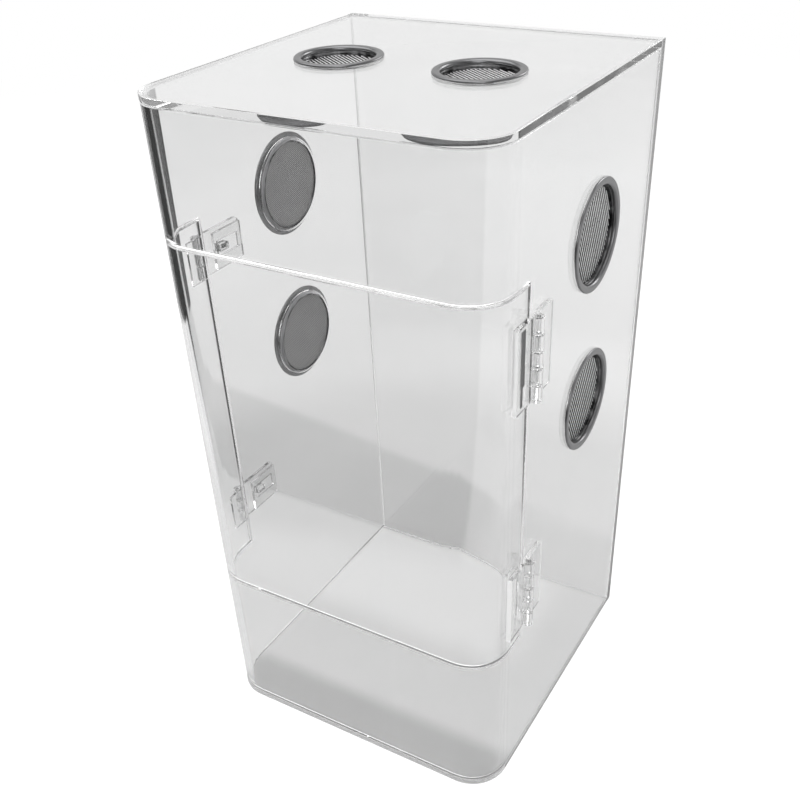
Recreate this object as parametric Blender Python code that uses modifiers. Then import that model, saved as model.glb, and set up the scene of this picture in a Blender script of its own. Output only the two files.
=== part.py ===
"""Clear acrylic enclosure for a climbing tarantula.

A tall box of clear sheet: flat base, top and back plates, and one sheet bent round both front
corners for the two sides and the front. The door is cut out of the bent sheet, so it wraps round
both corners. It swings on two clear butt hinges on the right side and is held shut on the left
side by two slotted hasps over staples. Six mesh vents sit in the top and in the side walls.

Units are metres, +X is to the right, +Y to the back and +Z up. The origin is the middle of the
base plate's underside, taken over the depth of the whole case.
"""
import math

import bmesh
import bpy
from mathutils import Matrix, Vector

# Case
CASE_WIDTH = 0.1524
CASE_HEIGHT = 0.3048
PLATE_DEPTH = 0.1524
SHEET = 0.003
BACK_SHEET = 0.0045
CORNER_RADIUS = 0.0178
GLUE_GAP = 0.0003
WELD = 0.00001

# Door, measured at the middle of the saw cut
DOOR_RETURN = 0.030
DOOR_SILL = 0.0778
DOOR_TOP_DROP = 0.0564
SAW_CUT = 0.0008

# Vents
SIDE_VENT_RADIUS = 0.0231
TOP_VENT_RADIUS = 0.0181
SIDE_VENT_FROM_FRONT = 0.0925
TOP_VENT_FROM_FRONT = 0.078
SIDE_VENT_DROP = 0.0614
SIDE_VENT_SPACING = 0.0754
TOP_VENT_SPACING = 0.0628
VENT_FLANGE_WIDTH = 0.0026
VENT_FLANGE_THICKNESS = 0.0008
VENT_FLANGE_ROLL = 0.0003
VENT_CUP_WALL = 0.0007
VENT_CUP_REACH = 0.0008
VENT_LIP_WIDTH = 0.0006
VENT_MESH_THICKNESS = 0.0008
VENT_FIT = 0.0003

# Vent mesh, as an open net of square gaps
MESH_PITCH = 0.0046
MESH_WIRE = 0.0011
MESH_RIM = 0.0010
MESH_SKEW = math.radians(45)

# Butt hinges
HINGE_HEIGHT = 0.035
HINGE_LEAF_WIDTH = 0.015
HINGE_LEAF_THICKNESS = 0.0022
HINGE_BARREL_RADIUS = 0.0026
HINGE_PIN_RADIUS = 0.0012
HINGE_KNUCKLES = 5
HINGE_TOP_INSET = 0.0118
HINGE_BOTTOM_INSET = 0.010

# Hasps
HASP_HEIGHT = 0.019
HASP_LEAF_WIDTH = 0.0085
HASP_LEAF_THICKNESS = 0.0014
HASP_BARREL_RADIUS = 0.0020
HASP_PIN_RADIUS = 0.0009
HASP_KNUCKLES = 3
HASP_TOP_INSET = 0.0179
HASP_BOTTOM_INSET = 0.0225
STRAP_REACH = 0.0275
STRAP_THICKNESS = 0.0016
STRAP_CORNER = 0.0020
SLOT_START = 0.0115
SLOT_LENGTH = 0.0142
SLOT_HEIGHT = 0.0070
STAPLE_PLATE_START = 0.0085
STAPLE_PLATE_LENGTH = 0.0180
STAPLE_PLATE_HEIGHT = 0.0165
STAPLE_LENGTH = 0.0058
STAPLE_WIDTH = 0.0030
STAPLE_FRONT_HEIGHT = 0.0042
STAPLE_REAR_HEIGHT = 0.0027
STAPLE_NOSE = 0.0008
STAPLE_CREST = 0.0015
STAPLE_EYE_RADIUS = 0.0008
STAPLE_EYE_WALL = 0.0005
STAPLE_EYE_FROM_FRONT = 0.0017
STAPLE_CLEARANCE = 0.0009

# Hardware in common
SEAT_GAP = 0.0003
PIN_FIT = 0.0003
KNUCKLE_GAP = 0.0004
CUT_OVERRUN = 0.004

# Fineness of round shapes
CORNER_STEPS = 12
HOLE_STEPS = 48
VENT_STEPS = 32
BARREL_STEPS = 20
PIN_STEPS = 12
FILLET_STEPS = 4
SHARP_TURN = math.radians(40)

# Places that follow from the sizes above
HALF_WIDTH = CASE_WIDTH / 2
CASE_DEPTH = PLATE_DEPTH + GLUE_GAP + BACK_SHEET
FRONT_Y = -CASE_DEPTH / 2
REAR_Y = FRONT_Y + PLATE_DEPTH
SHELL_BOTTOM = SHEET + GLUE_GAP
SHELL_TOP = CASE_HEIGHT - SHEET - GLUE_GAP
DOOR_EDGE_Y = FRONT_Y + DOOR_RETURN
DOOR_TOP = CASE_HEIGHT - DOOR_TOP_DROP
HINGE_AXIS_STANDOFF = HINGE_BARREL_RADIUS + 2 * SEAT_GAP
HASP_AXIS_STANDOFF = SEAT_GAP + HASP_LEAF_THICKNESS + SEAT_GAP + STRAP_THICKNESS / 2

CLEAR = ((0.90, 0.91, 0.92), 0.05, 0.0)
CLEAR_MOULDED = ((0.86, 0.88, 0.90), 0.12, 0.0)
DARK_METAL = ((0.12, 0.12, 0.13), 0.35, 1.0)
WIRE_METAL = ((0.45, 0.46, 0.48), 0.40, 1.0)


def clear_scene():
    """Remove every object that the file starts with."""
    for old in list(bpy.data.objects):
        bpy.data.objects.remove(old, do_unlink=True)


def add_collection(name):
    """Make a collection and link it to the scene."""
    collection = bpy.data.collections.new(name)
    bpy.context.scene.collection.children.link(collection)
    return collection


def give_material(piece, finish):
    """Give a piece its own material of the finish's colour, roughness and metallic value."""
    colour, roughness, metallic = finish
    material = bpy.data.materials.new(piece.name + "_finish")
    material.use_nodes = True
    shader = material.node_tree.nodes["Principled BSDF"]
    shader.inputs["Base Color"].default_value = (*colour, 1)
    shader.inputs["Roughness"].default_value = roughness
    shader.inputs["Metallic"].default_value = metallic
    shader.inputs["Transmission Weight"].default_value = 1 - metallic
    piece.material_slots[0].link = "OBJECT"
    piece.material_slots[0].material = material


def add_empty(name, place, parent, collection):
    """Add an empty that marks a frame or a joint axis."""
    empty = bpy.data.objects.new(name, None)
    empty.location = place
    empty.parent = parent
    collection.objects.link(empty)
    return empty


def add_piece(name, mesh, finish, collection, place=(0, 0, 0), turn=(0, 0, 0), parent=None):
    """Add a named piece from a mesh, with its own material, place and turn."""
    piece = bpy.data.objects.new(name, mesh)
    piece.location = place
    piece.rotation_euler = turn
    piece.parent = parent
    collection.objects.link(piece)
    if not mesh.materials:
        mesh.materials.append(None)
    give_material(piece, finish)
    return piece


def evaluated_mesh(draft):
    """Return a draft object's evaluated mesh, welded, and remove the draft."""
    bpy.context.view_layer.update()
    graph = bpy.context.evaluated_depsgraph_get()
    mesh = bpy.data.meshes.new_from_object(draft.evaluated_get(graph))
    mesh.name = draft.name
    bpy.data.objects.remove(draft, do_unlink=True)
    shape = bmesh.new()
    shape.from_mesh(mesh)
    bmesh.ops.remove_doubles(shape, verts=shape.verts, dist=WELD)
    bmesh.ops.recalc_face_normals(shape, faces=shape.faces)
    shape.to_mesh(mesh)
    shape.free()
    return mesh


def draft_object(name, data):
    """Put a construction shape in the scene."""
    draft = bpy.data.objects.new(name, data)
    bpy.context.scene.collection.objects.link(draft)
    return draft


def slab(name, outlines, thickness):
    """Return a mesh of closed flat outlines, made thick along Z about their plane."""
    curve = bpy.data.curves.new(name, "CURVE")
    curve.dimensions = "2D"
    curve.fill_mode = "BOTH"
    curve.extrude = thickness / 2
    for points in outlines:
        spline = curve.splines.new("POLY")
        spline.points.add(len(points) - 1)
        for knot, (across, along) in zip(spline.points, points):
            knot.co = (across, along, 0, 1)
        spline.use_cyclic_u = True
    return evaluated_mesh(draft_object(name, curve))


def block(name, low, high):
    """Return a box mesh between two corners."""
    shape = bmesh.new()
    size = Vector(high) - Vector(low)
    middle = (Vector(high) + Vector(low)) / 2
    place = Matrix.Translation(middle) @ Matrix.Diagonal((*size, 1))
    bmesh.ops.create_cube(shape, size=1, matrix=place)
    mesh = bpy.data.meshes.new(name)
    shape.to_mesh(mesh)
    shape.free()
    return mesh


def rod(name, radius, length, steps, axis="Z"):
    """Return a cylinder mesh about its middle, along Z or X."""
    shape = bmesh.new()
    turn = Matrix.Rotation(math.pi / 2, 4, "Y") if axis == "X" else Matrix.Identity(4)
    bmesh.ops.create_cone(shape, cap_ends=True, segments=steps, radius1=radius, radius2=radius,
                          depth=length, matrix=turn)
    mesh = bpy.data.meshes.new(name)
    shape.to_mesh(mesh)
    shape.free()
    return smooth(mesh)


def combined(name, body, tool, operation):
    """Return the mesh of a body joined with, or cut by, a tool mesh."""
    tool_draft = draft_object(name + "_tool", tool)
    body_draft = draft_object(name, body)
    change = body_draft.modifiers.new(operation.lower(), "BOOLEAN")
    change.operation = operation
    change.solver = "EXACT"
    change.object = tool_draft
    mesh = evaluated_mesh(body_draft)
    bpy.data.objects.remove(tool_draft, do_unlink=True)
    return mesh


def add_cutter(name, mesh, place, targets, collection):
    """Add a hidden cutter and cut it out of its targets."""
    cutter = bpy.data.objects.new(name, mesh)
    cutter.location = place
    cutter.hide_render = True
    cutter.display_type = "WIRE"
    collection.objects.link(cutter)
    for target in targets:
        cut = target.modifiers.new(name, "BOOLEAN")
        cut.operation = "DIFFERENCE"
        cut.solver = "EXACT"
        cut.object = cutter


def arc(centre, radius, start, end, steps):
    """Return points along an arc, angles in degrees, both ends included."""
    points = []
    for step in range(steps + 1):
        angle = math.radians(start + (end - start) * step / steps)
        points.append((centre[0] + radius * math.cos(angle), centre[1] + radius * math.sin(angle)))
    return points


def ring(centre, radius, steps):
    """Return the points of a closed circle."""
    return arc(centre, radius, 0, 360, steps)[:-1]


def smooth(mesh):
    """Shade a mesh's round faces smooth and keep its edges sharp."""
    mesh.shade_smooth()
    mesh.set_sharp_from_angle(angle=SHARP_TURN)
    return mesh


def plate_outline():
    """Outline of the top and base plates: square at the back, rounded at the front."""
    corner_y = FRONT_Y + CORNER_RADIUS
    corner_x = HALF_WIDTH - CORNER_RADIUS
    left = arc((-corner_x, corner_y), CORNER_RADIUS, 180, 270, CORNER_STEPS)
    right = arc((corner_x, corner_y), CORNER_RADIUS, 270, 360, CORNER_STEPS)
    return [(-HALF_WIDTH, REAR_Y)] + left + right + [(HALF_WIDTH, REAR_Y)]


def bent_outline(end_y):
    """Outline of the bent sheet seen from above, from one side's end round to the other's."""
    corner_y = FRONT_Y + CORNER_RADIUS
    corner_x = HALF_WIDTH - CORNER_RADIUS
    inner_radius = CORNER_RADIUS - SHEET
    inner_x = HALF_WIDTH - SHEET
    outer = [(-HALF_WIDTH, end_y)]
    outer += arc((-corner_x, corner_y), CORNER_RADIUS, 180, 270, CORNER_STEPS)
    outer += arc((corner_x, corner_y), CORNER_RADIUS, 270, 360, CORNER_STEPS)
    outer += [(HALF_WIDTH, end_y)]
    inner = [(inner_x, end_y)]
    inner += arc((corner_x, corner_y), inner_radius, 360, 270, CORNER_STEPS)
    inner += arc((-corner_x, corner_y), inner_radius, 270, 180, CORNER_STEPS)
    inner += [(-inner_x, end_y)]
    return outer + inner


def hole_radius(flange_radius):
    """Radius of the wall hole that a vent of this flange drops into."""
    return flange_radius - VENT_FLANGE_WIDTH + VENT_FIT


def build_case(parts, cutters):
    """Build the base, top, back and the bent shell with its window and vent holes."""
    base = slab("base_panel", [plate_outline()], SHEET)
    add_piece("base_panel", smooth(base), CLEAR, parts, (0, 0, SHEET / 2))
    holes = [ring(place, hole_radius(TOP_VENT_RADIUS), HOLE_STEPS) for place in top_vent_places()]
    top = slab("top_panel", [plate_outline()] + holes, SHEET)
    add_piece("top_panel", smooth(top), CLEAR, parts, (0, 0, CASE_HEIGHT - SHEET / 2))
    back = block("back_panel", (-HALF_WIDTH, REAR_Y + GLUE_GAP, 0),
                 (HALF_WIDTH, REAR_Y + GLUE_GAP + BACK_SHEET, CASE_HEIGHT))
    add_piece("back_panel", back, CLEAR, parts)
    bent = slab("body_shell", [bent_outline(REAR_Y)], SHELL_TOP - SHELL_BOTTOM)
    shell = add_piece("body_shell", smooth(bent), CLEAR, parts, (0, 0, (SHELL_TOP + SHELL_BOTTOM) / 2))
    window = block("window_cutter",
                   (-HALF_WIDTH - CUT_OVERRUN, FRONT_Y - CUT_OVERRUN, DOOR_SILL - SAW_CUT / 2),
                   (HALF_WIDTH + CUT_OVERRUN, DOOR_EDGE_Y + SAW_CUT / 2, DOOR_TOP + SAW_CUT / 2))
    add_cutter("window_cutter", window, (0, 0, 0), [shell], cutters)
    drill = rod("vent_drill", hole_radius(SIDE_VENT_RADIUS), CASE_WIDTH + CUT_OVERRUN, HOLE_STEPS, "X")
    for row, height in enumerate(side_vent_heights()):
        place = (0, FRONT_Y + SIDE_VENT_FROM_FRONT, height)
        add_cutter(f"vent_drill_{row + 1}", drill, place, [shell], cutters)


def top_vent_places():
    """Centres of the two top vents, left then right."""
    along = FRONT_Y + TOP_VENT_FROM_FRONT
    return [(-TOP_VENT_SPACING / 2, along), (TOP_VENT_SPACING / 2, along)]


def side_vent_heights():
    """Heights of the upper and lower side vents."""
    upper = CASE_HEIGHT - SIDE_VENT_DROP
    return [upper, upper - SIDE_VENT_SPACING]


def vent_cup(name, flange_radius):
    """Turned cup: flange on the wall's outer face, tube through the wall, lip at its foot.

    The wall's outer face is at Z zero and the cup points down into the case.
    """
    tube = flange_radius - VENT_FLANGE_WIDTH
    bore = tube - VENT_CUP_WALL
    lip = bore - VENT_LIP_WIDTH
    flange_low = SEAT_GAP
    flange_high = SEAT_GAP + VENT_FLANGE_THICKNESS
    seat = mesh_seat()
    foot = -SHEET - VENT_CUP_REACH
    profile = [
        (bore, flange_high), (flange_radius - VENT_FLANGE_ROLL, flange_high),
        (flange_radius, flange_high - VENT_FLANGE_ROLL), (flange_radius, flange_low),
        (tube, flange_low), (tube, foot), (lip, foot), (lip, seat), (bore, seat),
    ]
    mesh = bpy.data.meshes.new(name)
    count = len(profile)
    edges = [(here, (here + 1) % count) for here in range(count)]
    mesh.from_pydata([(across, 0, height) for across, height in profile], edges, [])
    draft = draft_object(name, mesh)
    turned = draft.modifiers.new("turned", "SCREW")
    turned.steps = VENT_STEPS
    turned.render_steps = VENT_STEPS
    turned.use_merge_vertices = True
    turned.merge_threshold = WELD
    return smooth(evaluated_mesh(draft))


def mesh_seat():
    """Height of the lip that the mesh rests on, below the wall's outer face."""
    return -SHEET - VENT_FIT


def vent_mesh(name, flange_radius):
    """Flat wire net: a disc with square gaps in a skewed grid."""
    bore = flange_radius - VENT_FLANGE_WIDTH - VENT_CUP_WALL
    radius = bore - VENT_FIT
    inside = radius - MESH_RIM
    half_gap = (MESH_PITCH - MESH_WIRE) / 2
    reach = int(inside / MESH_PITCH) + 1
    outlines = [ring((0, 0), radius, VENT_STEPS)]
    skew = Matrix.Rotation(MESH_SKEW, 2)
    for row in range(-reach, reach + 1):
        for column in range(-reach, reach + 1):
            middle = Vector((column, row)) * MESH_PITCH
            corners = [middle + Vector(side) * half_gap for side in ((-1, -1), (1, -1), (1, 1), (-1, 1))]
            if max(corner.length for corner in corners) < inside:
                outlines.append([tuple(skew @ corner) for corner in corners])
    return slab(name, outlines, VENT_MESH_THICKNESS)


def build_vents(parts):
    """Place the six vents, each a cup and its mesh."""
    side_cup = vent_cup("side_vent_cup", SIDE_VENT_RADIUS)
    side_mesh = vent_mesh("side_vent_mesh", SIDE_VENT_RADIUS)
    top_cup = vent_cup("top_vent_cup", TOP_VENT_RADIUS)
    top_mesh = vent_mesh("top_vent_mesh", TOP_VENT_RADIUS)
    for side, (across, along) in zip(("left", "right"), top_vent_places()):
        place_vent(f"top_{side}", top_cup, top_mesh, (across, along, CASE_HEIGHT), (0, 0, 0), parts)
    for side, sign in (("left", -1), ("right", 1)):
        for level, height in zip(("upper", "lower"), side_vent_heights()):
            place = (sign * HALF_WIDTH, FRONT_Y + SIDE_VENT_FROM_FRONT, height)
            place_vent(f"{side}_{level}", side_cup, side_mesh, place, (0, sign * math.pi / 2, 0), parts)


def place_vent(label, cup, mesh, place, turn, parts):
    """Place one vent's cup and mesh on a wall."""
    mount = add_empty(f"vent_frame_{label}", place, None, parts)
    mount.rotation_euler = turn
    add_piece(f"vent_cup_{label}", cup, DARK_METAL, parts, parent=mount)
    net_height = mesh_seat() + VENT_FIT + VENT_MESH_THICKNESS / 2
    add_piece(f"vent_mesh_{label}", mesh, WIRE_METAL, parts, (0, 0, net_height), parent=mount)


def build_door(parts, door_axis):
    """Build the door, bent round both corners, with its origin on the hinge axis."""
    panel = slab("door_panel", [bent_outline(DOOR_EDGE_Y - SAW_CUT / 2)],
                 DOOR_TOP - DOOR_SILL - SAW_CUT)
    panel.transform(Matrix.Translation(-Vector((*door_axis.location[:2], 0))))
    middle = (0, 0, (DOOR_TOP + DOOR_SILL) / 2)
    add_piece("door_panel", smooth(panel), CLEAR, parts, middle, parent=door_axis)


def leaf_outline(standoff, barrel, thickness, width):
    """Outline of a leaf with its knuckle, seen along the pin.

    The pin is at zero, the leaf runs to +X and the wall's face is below the pin by the standoff.
    """
    low = SEAT_GAP - standoff
    high = low + thickness
    meet = math.degrees(math.asin(high / barrel))
    turn = arc((0, 0), barrel, 270, meet, BARREL_STEPS)
    return [(width, low), (0, low)] + turn + [(width, high)]


def knuckle_bands(height, count, owner):
    """Return the height ranges of the knuckles that belong to the other leaf, widened by the gap."""
    step = height / count
    bands = []
    for index in range(count):
        if index % 2 != owner:
            low = -height / 2 + index * step - (KNUCKLE_GAP / 2 if index else CUT_OVERRUN)
            last = index == count - 1
            high = -height / 2 + (index + 1) * step + (CUT_OVERRUN if last else KNUCKLE_GAP / 2)
            bands.append((low, high))
    return bands


def knuckled(name, outline, bore, height, barrel, count, owner):
    """Return a leaf mesh: an outline along Z, a pin bore, and notches for the other leaf."""
    leaf = slab(name, [outline, ring((0, 0), bore, PIN_STEPS)], height)
    clear = barrel + KNUCKLE_GAP
    depth = barrel + CUT_OVERRUN
    for low, high in knuckle_bands(height, count, owner):
        notch = block(name + "_notch", (-clear, -depth, low), (clear, depth, high))
        leaf = combined(name, leaf, notch, "DIFFERENCE")
    return smooth(leaf)


def build_hinges(parts, door_axis):
    """Build the two butt hinges on the right side."""
    outline = leaf_outline(HINGE_AXIS_STANDOFF, HINGE_BARREL_RADIUS, HINGE_LEAF_THICKNESS,
                           HINGE_LEAF_WIDTH)
    mirrored = [(-across, along) for across, along in reversed(outline)]
    bore = HINGE_PIN_RADIUS + PIN_FIT
    wall_leaf = knuckled("hinge_wall_leaf", mirrored, bore, HINGE_HEIGHT, HINGE_BARREL_RADIUS,
                         HINGE_KNUCKLES, 0)
    door_leaf = knuckled("hinge_door_leaf", outline, bore, HINGE_HEIGHT, HINGE_BARREL_RADIUS,
                         HINGE_KNUCKLES, 1)
    pin = rod("hinge_pin", HINGE_PIN_RADIUS, HINGE_HEIGHT, PIN_STEPS)
    turn = (0, 0, -math.pi / 2)
    for level, height in hinge_heights():
        place = (door_axis.location.x, door_axis.location.y, height)
        frame = add_empty(f"{level}_hinge_frame", place, None, parts)
        frame.rotation_euler = turn
        add_piece(f"{level}_hinge_wall_leaf", wall_leaf, CLEAR_MOULDED, parts, parent=frame)
        add_piece(f"{level}_hinge_pin", pin, CLEAR_MOULDED, parts, parent=frame)
        add_piece(f"{level}_hinge_door_leaf", door_leaf, CLEAR_MOULDED, parts,
                  (0, 0, height), turn, door_axis)


def hinge_heights():
    """Heights of the hinges' middles."""
    upper = DOOR_TOP - HINGE_TOP_INSET - HINGE_HEIGHT / 2
    lower = DOOR_SILL + HINGE_BOTTOM_INSET + HINGE_HEIGHT / 2
    return (("upper", upper), ("lower", lower))


def hasp_heights():
    """Heights of the hasps' middles."""
    return (("upper", DOOR_TOP - HASP_TOP_INSET), ("lower", DOOR_SILL + HASP_BOTTOM_INSET))


def strap_outline():
    """Outline of the strap with its knuckle, seen along the pin, reaching to +X."""
    half = STRAP_THICKNESS / 2
    meet = math.degrees(math.asin(half / HASP_BARREL_RADIUS))
    turn = arc((0, 0), HASP_BARREL_RADIUS, 360 - meet, meet, BARREL_STEPS)
    return [(STRAP_REACH, -half)] + turn + [(STRAP_REACH, half)]


def strap_mesh():
    """Return the strap: knuckle, plate with two rounded far corners, and the slot."""
    strap = knuckled("hasp_strap", strap_outline(), HASP_PIN_RADIUS + PIN_FIT, HASP_HEIGHT,
                     HASP_BARREL_RADIUS, HASP_KNUCKLES, 1)
    half = SLOT_HEIGHT / 2
    slot = block("slot", (SLOT_START, -CUT_OVERRUN, -half), (SLOT_START + SLOT_LENGTH, CUT_OVERRUN, half))
    strap = combined("hasp_strap", strap, slot, "DIFFERENCE")
    for side in (-1, 1):
        strap = combined("hasp_strap", strap, corner_trim(side), "DIFFERENCE")
    return smooth(strap)


def corner_trim(side):
    """Return the waste outside one rounded far corner of the strap."""
    centre = (STRAP_REACH - STRAP_CORNER, HASP_HEIGHT / 2 - STRAP_CORNER)
    beyond = (STRAP_REACH + CUT_OVERRUN, HASP_HEIGHT / 2 + CUT_OVERRUN)
    outline = arc(centre, STRAP_CORNER, 90, 0, FILLET_STEPS)
    outline += [(beyond[0], centre[1]), beyond, (centre[0], beyond[1])]
    waste = slab("corner_trim", [outline], STRAP_THICKNESS + CUT_OVERRUN)
    waste.transform(Matrix.Rotation(math.pi / 2, 4, "X"))
    if side < 0:
        waste.transform(Matrix.Rotation(math.pi, 4, "X"))
    return waste


def staple_mesh():
    """Return the staple: a plate on the wall with a low rounded tab that the slot passes over."""
    low = SEAT_GAP - HASP_AXIS_STANDOFF
    plate_top = low + HASP_LEAF_THICKNESS
    half = STAPLE_PLATE_HEIGHT / 2
    plate = block("hasp_staple", (STAPLE_PLATE_START, low, -half),
                  (STAPLE_PLATE_START + STAPLE_PLATE_LENGTH, plate_top, half))
    front = SLOT_START + STAPLE_CLEARANCE
    rear = front + STAPLE_LENGTH
    root = low + HASP_LEAF_THICKNESS / 2
    tall = plate_top + STAPLE_FRONT_HEIGHT
    short = plate_top + STAPLE_REAR_HEIGHT
    outline = [(front, root), (rear, root), (rear, short), (front + STAPLE_CREST, tall)]
    outline += arc((front + STAPLE_NOSE, tall - STAPLE_NOSE), STAPLE_NOSE, 90, 180, FILLET_STEPS)
    eye_place = (front + STAPLE_EYE_FROM_FRONT, tall - STAPLE_EYE_WALL - STAPLE_EYE_RADIUS)
    eye = ring(eye_place, STAPLE_EYE_RADIUS, PIN_STEPS)
    tab = slab("staple_tab", [outline, eye], STAPLE_WIDTH)
    return smooth(combined("hasp_staple", plate, tab, "UNION"))


def build_hasps(parts, door_axis):
    """Build the two hasps on the left side, each strap about its own pin on the door."""
    outline = leaf_outline(HASP_AXIS_STANDOFF, HASP_BARREL_RADIUS, HASP_LEAF_THICKNESS,
                           HASP_LEAF_WIDTH)
    mirrored = [(-across, along) for across, along in reversed(outline)]
    door_leaf = knuckled("hasp_door_leaf", mirrored, HASP_PIN_RADIUS + PIN_FIT, HASP_HEIGHT,
                         HASP_BARREL_RADIUS, HASP_KNUCKLES, 0)
    strap = strap_mesh()
    staple = staple_mesh()
    pin = rod("hasp_pin", HASP_PIN_RADIUS, HASP_HEIGHT, PIN_STEPS)
    turn = (0, 0, math.pi / 2)
    across = -HALF_WIDTH - HASP_AXIS_STANDOFF
    for level, height in hasp_heights():
        place = Vector((across, DOOR_EDGE_Y, height))
        strap_axis = add_empty(f"{level}_hasp_axis", place - door_axis.location, door_axis, parts)
        strap_axis.rotation_euler = turn
        add_piece(f"{level}_hasp_door_leaf", door_leaf, CLEAR_MOULDED, parts, parent=strap_axis)
        add_piece(f"{level}_hasp_pin", pin, CLEAR_MOULDED, parts, parent=strap_axis)
        add_piece(f"{level}_hasp_strap", strap, CLEAR_MOULDED, parts, parent=strap_axis)
        add_piece(f"{level}_hasp_staple", staple, CLEAR_MOULDED, parts, place, turn)


def build_enclosure():
    """Build every piece of the enclosure."""
    clear_scene()
    parts = add_collection("tarantula_enclosure")
    cutters = add_collection("cutters")
    door_axis = add_empty("door_axis", (HALF_WIDTH + HINGE_AXIS_STANDOFF, DOOR_EDGE_Y, 0), None, parts)
    build_case(parts, cutters)
    build_vents(parts)
    build_door(parts, door_axis)
    build_hinges(parts, door_axis)
    build_hasps(parts, door_axis)


build_enclosure()
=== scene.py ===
"""Looks of a clear acrylic enclosure for a climbing tarantula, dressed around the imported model.

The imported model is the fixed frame: it gives every place, and each piece made here stands where
its node is. The sheets are flat blanks with polished edges, which a Geometry Nodes rule bends
round the front corners. The vents are turned cups with a woven wire disc. Hinges and hasps are
clear mouldings. Units are metres, +X right, +Y to the back and +Z up.
"""

import logging
import math
from dataclasses import dataclass, field
from enum import Enum
from typing import Any

import bmesh
import bpy
from mathutils import Matrix, Vector


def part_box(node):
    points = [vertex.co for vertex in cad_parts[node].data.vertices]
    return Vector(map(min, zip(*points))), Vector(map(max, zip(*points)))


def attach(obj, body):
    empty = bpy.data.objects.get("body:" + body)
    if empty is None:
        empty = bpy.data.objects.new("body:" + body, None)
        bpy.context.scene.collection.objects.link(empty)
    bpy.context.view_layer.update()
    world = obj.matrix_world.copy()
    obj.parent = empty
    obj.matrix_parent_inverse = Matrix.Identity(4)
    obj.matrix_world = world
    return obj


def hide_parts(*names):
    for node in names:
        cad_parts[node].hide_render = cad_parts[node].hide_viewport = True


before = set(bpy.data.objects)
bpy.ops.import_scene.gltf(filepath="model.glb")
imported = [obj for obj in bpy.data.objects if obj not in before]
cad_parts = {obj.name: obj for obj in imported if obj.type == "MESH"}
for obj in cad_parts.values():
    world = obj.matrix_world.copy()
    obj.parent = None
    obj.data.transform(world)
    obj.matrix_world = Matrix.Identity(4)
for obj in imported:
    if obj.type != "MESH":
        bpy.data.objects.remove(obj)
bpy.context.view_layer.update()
LOG = logging.getLogger("enclosure")

Mesh = bpy.types.Mesh
Material = bpy.types.Material

ACRYLIC_IOR = 1.49
WELD = 0.000001
SHARP_TURN = math.radians(50)
BEVEL_TURN = math.radians(35)
FLAT = 100
OVERRUN = 0.004
CUT = "cut"
PAINTED_GLINT = "painted_glint"


class Solver(Enum):
    """How two solids are put together."""

    JOIN = "UNION"
    CUT = "DIFFERENCE"
    SHARED = "INTERSECT"


class Side(Enum):
    """The wall that a vent sits in, with the turn from its own up to that wall's outward side."""

    LEFT = -math.pi / 2
    RIGHT = math.pi / 2
    TOP = 0.0


WEAVE_TURNS = {
    Side.LEFT: math.radians(45),
    Side.RIGHT: math.radians(29),
    Side.TOP: math.radians(-36),
}


class Term:
    """An output socket in a node graph, so that sums on it are written as expressions."""

    def __init__(self, graph: "Graph", socket: bpy.types.NodeSocket) -> None:
        """Hold the socket and the graph that it is in."""
        self.graph = graph
        self.socket = socket

    def output(self, name: str) -> "Term":
        """Return another output of the same node."""
        return Term(self.graph, self.socket.node.outputs[name])

    def __add__(self, other: Any) -> "Term":
        """Add."""
        return self.graph.maths("ADD", self, other)

    def __radd__(self, other: Any) -> "Term":
        """Add, number first."""
        return self.graph.maths("ADD", other, self)

    def __sub__(self, other: Any) -> "Term":
        """Subtract."""
        return self.graph.maths("SUBTRACT", self, other)

    def __rsub__(self, other: Any) -> "Term":
        """Subtract from a number."""
        return self.graph.maths("SUBTRACT", other, self)

    def __mul__(self, other: Any) -> "Term":
        """Multiply."""
        return self.graph.maths("MULTIPLY", self, other)

    def __rmul__(self, other: Any) -> "Term":
        """Multiply, number first."""
        return self.graph.maths("MULTIPLY", other, self)

    def __truediv__(self, other: Any) -> "Term":
        """Divide."""
        return self.graph.maths("DIVIDE", self, other)

    def does(self, operation: str, *others: Any) -> "Term":
        """Apply any other Math operation to this value."""
        return self.graph.maths(operation, self, *others)


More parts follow.
